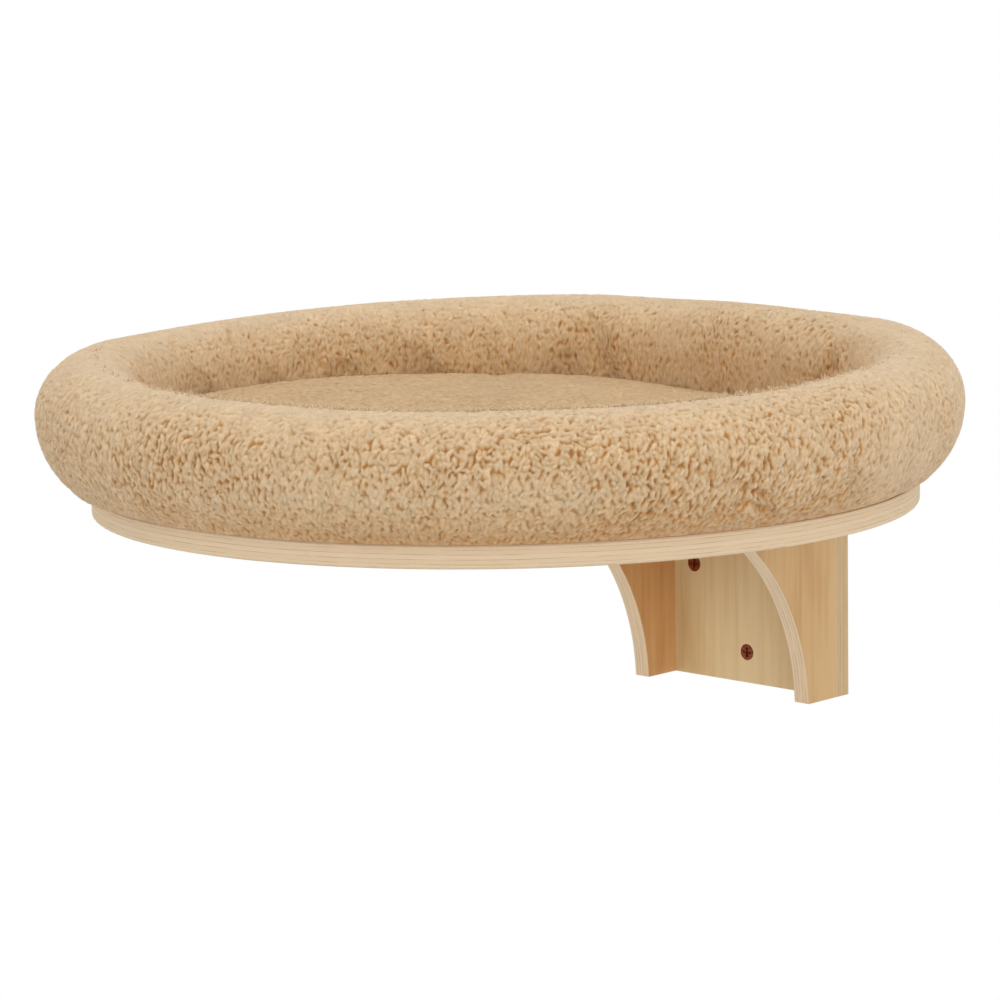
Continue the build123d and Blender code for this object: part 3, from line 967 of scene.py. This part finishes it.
def plush_material(name, bump_height, sheen, **colours):
    """Plush with the fibre relief of bump_height metres."""
    material, tree, shader = new_material(name, Roughness=0.92, Specular_IOR_Level=0.15,
                                          Sheen_Weight=sheen, Sheen_Roughness=0.4,
                                          Sheen_Tint=tint(255, 242, 224))
    depth = add_node(tree, "Attribute", attribute_name="pile_shade_depth").outputs["Fac"]
    lock = add_node(tree, "Attribute", attribute_name="lock_place").outputs["Vector"]
    pile_node = add_node(tree, "Group",
                         {"Depth": depth, "Lock": lock, "Place": object_place(tree), **colours},
                         node_tree=plush)
    dress(tree, shader, pile_node.outputs["Color"], pile_node.outputs["Height"], 0.8, bump_height)
    return material


wear(plush_material("bolster_pile", 0.0004, 0.55), bolster)
wear(plush_material("pad_pile", 0.0005, 0.25, Tip=tint(215, 187, 147), Body=tint(205, 173, 129)),
     pad)
for piece in (bolster, pad):
    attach(piece, "bed")
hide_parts("bolster_cover")
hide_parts("pad_cover")
print("plush group:", len(plush.nodes), "nodes")

# %% [markdown]
# ## Stuffing and bottom cloth
# Inside the covers lies white polyester fibre. Its two bodies are the skins again, drawn in by a
# few millimetres, so they follow the covers wherever these rise or fall. Under the pad lies the
# bed's bottom cloth, a woven disc that only shows when the bed is lifted. It is stretched over the
# four loop rounds, so each lies in a soft dent.

# %% The stuffing
stuffing_skin = ring_surface(coarse_angle, coarse_run) + change
stuffing_points = stuffing_skin - outward(stuffing_skin) * 4.0 * mm
stuffing = make_mesh("bolster_fibre", stuffing_points.reshape(-1, 3), ring_faces)
pad_stuffing_points = pad_mesh_points(pad_skin + pad_change - pad_normal * 3.5 * mm)
pad_stuffing_points[-1, 2] += 3.5 * mm
pad_stuffing = make_mesh("pad_fibre", pad_stuffing_points, cushion_faces(pad_coarse))
fibre, tree, shader = new_material("white_fibre", Roughness=0.95, Sheen_Weight=0.2)
wisps = grain_noise(tree, object_place(tree), 260.0, 5.0, 0.7, None, 2.0)
body = blend_colour(tree, wisps, tint(236, 234, 228), tint(250, 250, 247))
dress(tree, shader, body, wisps, 0.7, 0.001)
wear(fibre, stuffing, pad_stuffing)
for piece, node in ((stuffing, "bolster_filling"), (pad_stuffing, "pad_filling")):
    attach(piece, "bed")
    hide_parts(node)
print("stuffing points:", len(stuffing_points.reshape(-1, 3)) + len(pad_stuffing_points))

# %% The bottom cloth
cloth_low, cloth_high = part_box("bottom_cloth")
loop_low, loop_high = map(np.array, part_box("loop_rounds"))
cloth_radius = (cloth_high[0] - cloth_low[0]) / 2 + 1.7 * mm
loop_middle = (loop_high + loop_low) / 2
round_radius = 22.0 * mm
round_reach = (loop_high[0] - loop_low[0]) / 2 - round_radius


def cloth_surface(a, b, below):
    """A disc with a soft rim, dented from below at the four rounds. It reaches to the ring's foot
    all round, so it gives way with it where the wall pushes."""
    share, angle = square_to_disc(a, b)
    half = (cloth_high[2] - cloth_low[2]) / 2
    rolled = 0.985
    roll = np.clip((share - rolled) / 0.015, 0.0, 1.0)
    rim_radius = 0.994 + 0.006 * np.sin(np.pi / 2 * roll)
    radius = np.where(share < rolled, share / rolled * 0.994, rim_radius)
    radius = (cloth_radius - 0.97 * push(angle)) * radius
    x, y = bed_middle[0] + radius * np.cos(angle), bed_middle[1] + radius * np.sin(angle)
    edge = half * np.cos(np.pi / 2 * roll)
    lift = 0.0
    if below:
        away = np.hypot(np.abs(x - loop_middle[0]) - round_reach,
                        np.abs(y - loop_middle[1]) - round_reach) - round_radius
        lift = (loop_high[2] - cloth_low[2]) * np.clip(1.2 - away / (1.6 * mm), 0.0, 1.0)
    z = (cloth_high[2] + cloth_low[2]) / 2 + (lift - edge if below else edge)
    return np.stack([x, y, z], -1)


cloth_grid = 300
cloth_skins = [cloth_surface(*square_grid(cloth_grid), below).reshape(-1, 3)
               for below in (False, True)]
count = cloth_grid * cloth_grid
rim = square_rim(cloth_grid)
next_rim = np.roll(rim, -1)
side = np.stack([rim + count, next_rim + count, next_rim, rim], 1)
faces_up = grid_faces(cloth_grid, cloth_grid, False, False)
cloth = make_mesh("bottom_cloth_sheet", np.concatenate(cloth_skins),
                  [faces_up, faces_up[:, ::-1] + count, side])
woven, tree, shader = new_material("woven_cloth", Roughness=0.9, Sheen_Weight=0.15,
                                   Specular_IOR_Level=0.2)
thread = 0.0007
place = object_place(tree)
split = add_node(tree, "SeparateXYZ", {0: place})
threads = [maths(tree, "SINE", maths(tree, "MULTIPLY", split.outputs[axis], 2 * math.pi / thread))
           for axis in (0, 1)]
shade = ramp(tree, maths(tree, "MULTIPLY", *threads), -1.0, 1.0)
slub = grain_noise(tree, place, 1.0, 3.0, 0.6, (60.0, 500.0, 60.0))
body = blend_colour(tree, shade, tint(182, 152, 116), tint(214, 188, 152))
body = blend_colour(tree, ramp(tree, slub, 0.45, 0.7, 0.0, 0.5), body, tint(170, 138, 100))
dress(tree, shader, body, shade, 0.6, 0.0002)
wear(woven, cloth)
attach(cloth, "bed")
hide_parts("bottom_cloth")
print("cloth radius, mm:", in_mm(cloth_radius), "rounds about", in_mm(loop_middle))

# %% [markdown]
# ## Tape and screws
# The hook rounds carry fine rows of hooks and the loop rounds a felt of loops; both are off-white.
# The three wall screws are coated bronze-brown, with darker blotches and small rubbed spots. The
# wood screws are plain zinc-plated.

# %% Materials of tape and screws
def tape_material(name, pitch, loops):
    """Off-white tape: dots of hooks at a pitch in metres, or a tangle of loops."""
    material, tree, shader = new_material(name, Roughness=0.85, Sheen_Weight=0.2)
    place = object_place(tree)
    if loops:
        pattern = grain_noise(tree, place, 1.0 / pitch, 4.0, 0.7, None, 3.0)
    else:
        cells = add_node(tree, "TexVoronoi",
                         {"Vector": place, "Scale": 1.0 / pitch, "Randomness": 0.15})
        pattern = ramp(tree, cells.outputs["Distance"], 0.15, 0.6, 1.0, 0.0)
    colour = blend_colour(tree, pattern, tint(196, 188, 172), tint(236, 231, 218))
    dress(tree, shader, colour, pattern, 0.8, 0.0003)
    return material


def screw_material(name, metallic, roughness, body, worn, dark):
    """Coated or plated steel with soft blotches, and rubbed spots where the noise is highest."""
    material, tree, shader = new_material(name, Metallic=metallic, Specular_IOR_Level=0.25)
    place = object_place(tree)
    blotch = grain_noise(tree, place, 700.0, 4.0, 0.6)
    fine = grain_noise(tree, place, 4000.0, 3.0, 0.6)
    colour = blend_colour(tree, ramp(tree, blotch, 0.35, 0.65), body, dark)
    colour = blend_colour(tree, ramp(tree, fine, 0.60, 0.78, 0.0, 0.6), colour, worn)
    rough = ramp(tree, blotch, 0.3, 0.7, roughness - 0.06, roughness + 0.1)
    tree.links.new(rough, shader.inputs["Roughness"])
    dress(tree, shader, colour, fine, 0.3, 0.00005)
    return material


wear(tape_material("hook_tape", 0.0009, False), nodes["hook_rounds"])
wear(tape_material("loop_tape", 0.0006, True), nodes["loop_rounds"])
bronze = screw_material("bronze_coating", 0.05, 0.5, tint(152, 64, 18), tint(182, 96, 40),
                        tint(98, 36, 8))
zinc = screw_material("zinc_plating", 0.9, 0.36, tint(188, 186, 176), tint(214, 212, 204),
                      tint(158, 156, 148))
wear(bronze, nodes["wall_screws"])
wear(zinc, nodes["seat_screws"], nodes["gusset_screws"])
print("materials:", len(bpy.data.materials))

# %% [markdown]
# ## Light, floor and background
# The perch was photographed in a bright white studio. A white world lights it from all sides, more
# from above than from below. A large soft light hangs over it, a strong one stands to the right
# of the camera, a weaker one low on the left, and a faint one behind. The camera itself sees
# plain white. The floor lies far below, so that the perch is seen from below too; it fades to
# white further out.

# %% Light and staging
def area_light(name, place, target, size, power, colour):
    """A square soft light at place that faces target."""
    data = bpy.data.lights.new(name, "AREA")
    data.size = size
    data.energy = power
    data.color = colour
    light = bpy.data.objects.new(name, data)
    light.location = place
    aim = Vector(target) - Vector(place)
    light.rotation_euler = aim.to_track_quat("-Z", "Y").to_euler()
    scene.collection.objects.link(light)


def shine_where(tree, amount, first, second, output):
    """Mixes a second shader over the first one by amount, into the tree's output node."""
    mix = add_node(tree, "MixShader", {0: amount, 1: first.outputs[0], 2: second.outputs[0]})
    tree.links.new(mix.outputs[0], tree.nodes[output].inputs["Surface"])


warm, cool, white = (1.0, 0.99, 0.97), (0.98, 0.99, 1.0), (1.0, 1.0, 1.0, 1.0)
seat_middle = (0.0, -0.18, 0.0)
area_light("top_light", (0.15, -0.45, 1.7), (0.0, -0.18, 0.08), 1.6, 4.5, warm)
area_light("right_light", (2.0, -1.2, 0.25), seat_middle, 1.2, 11.5, warm)
area_light("left_light", (-1.2, -1.9, -0.05), seat_middle, 1.2, 5.0, cool)
area_light("back_light", (1.3, 1.5, -0.10), seat_middle, 1.0, 1.8, warm)

world = bpy.data.worlds.new("studio")
scene.world = world
world.use_nodes = True
tree = world.node_tree
sky = tree.nodes["Background"]
sky.inputs["Color"].default_value = (1.0, 0.99, 0.975, 1.0)
world_place = add_node(tree, "TexCoord").outputs["Generated"]
upward = add_node(tree, "SeparateXYZ", {0: world_place}).outputs[2]
tree.links.new(ramp(tree, upward, -0.35, 0.45, 0.44, 0.94), sky.inputs["Strength"])
paper = add_node(tree, "Background", {"Color": white, "Strength": 1.0})
path = add_node(tree, "LightPath").outputs
seen = maths(tree, "MAXIMUM", path["Is Camera Ray"],
             maths(tree, "MAXIMUM", path["Is Glossy Ray"], path["Is Transmission Ray"]))
shine_where(tree, seen, sky, paper, "World Output")

floor_level, floor_radius, spoke_count = -1.3, 8.0, 96
spokes = np.arange(spoke_count)
ring = spokes * 2 * np.pi / spoke_count
floor_points = np.stack([floor_radius * np.cos(ring), floor_radius * np.sin(ring),
                         np.full(spoke_count, floor_level)], 1)
floor_points = np.concatenate([[[0.0, 0.0, floor_level]], floor_points])
floor_faces = np.stack([spokes * 0, 1 + spokes, 1 + (spokes + 1) % spoke_count], 1)
floor = make_mesh("floor", floor_points, floor_faces, False)
paper_floor, tree, shader = new_material("floor_paper", Roughness=0.9, Specular_IOR_Level=0.0,
                                         Base_Color=(0.72, 0.72, 0.72, 1.0))
distance = add_node(tree, "VectorMath", {0: object_place(tree), 1: (0.0, -0.2, floor_level)},
                    operation="DISTANCE").outputs["Value"]
far_seen = maths(tree, "MULTIPLY", ramp(tree, distance, 0.35, 0.9),
                 add_node(tree, "LightPath").outputs["Is Camera Ray"])
glow = add_node(tree, "Emission", {"Color": white, "Strength": 1.0})
shine_where(tree, far_seen, shader, glow, "Material Output")
wear(paper_floor, floor)
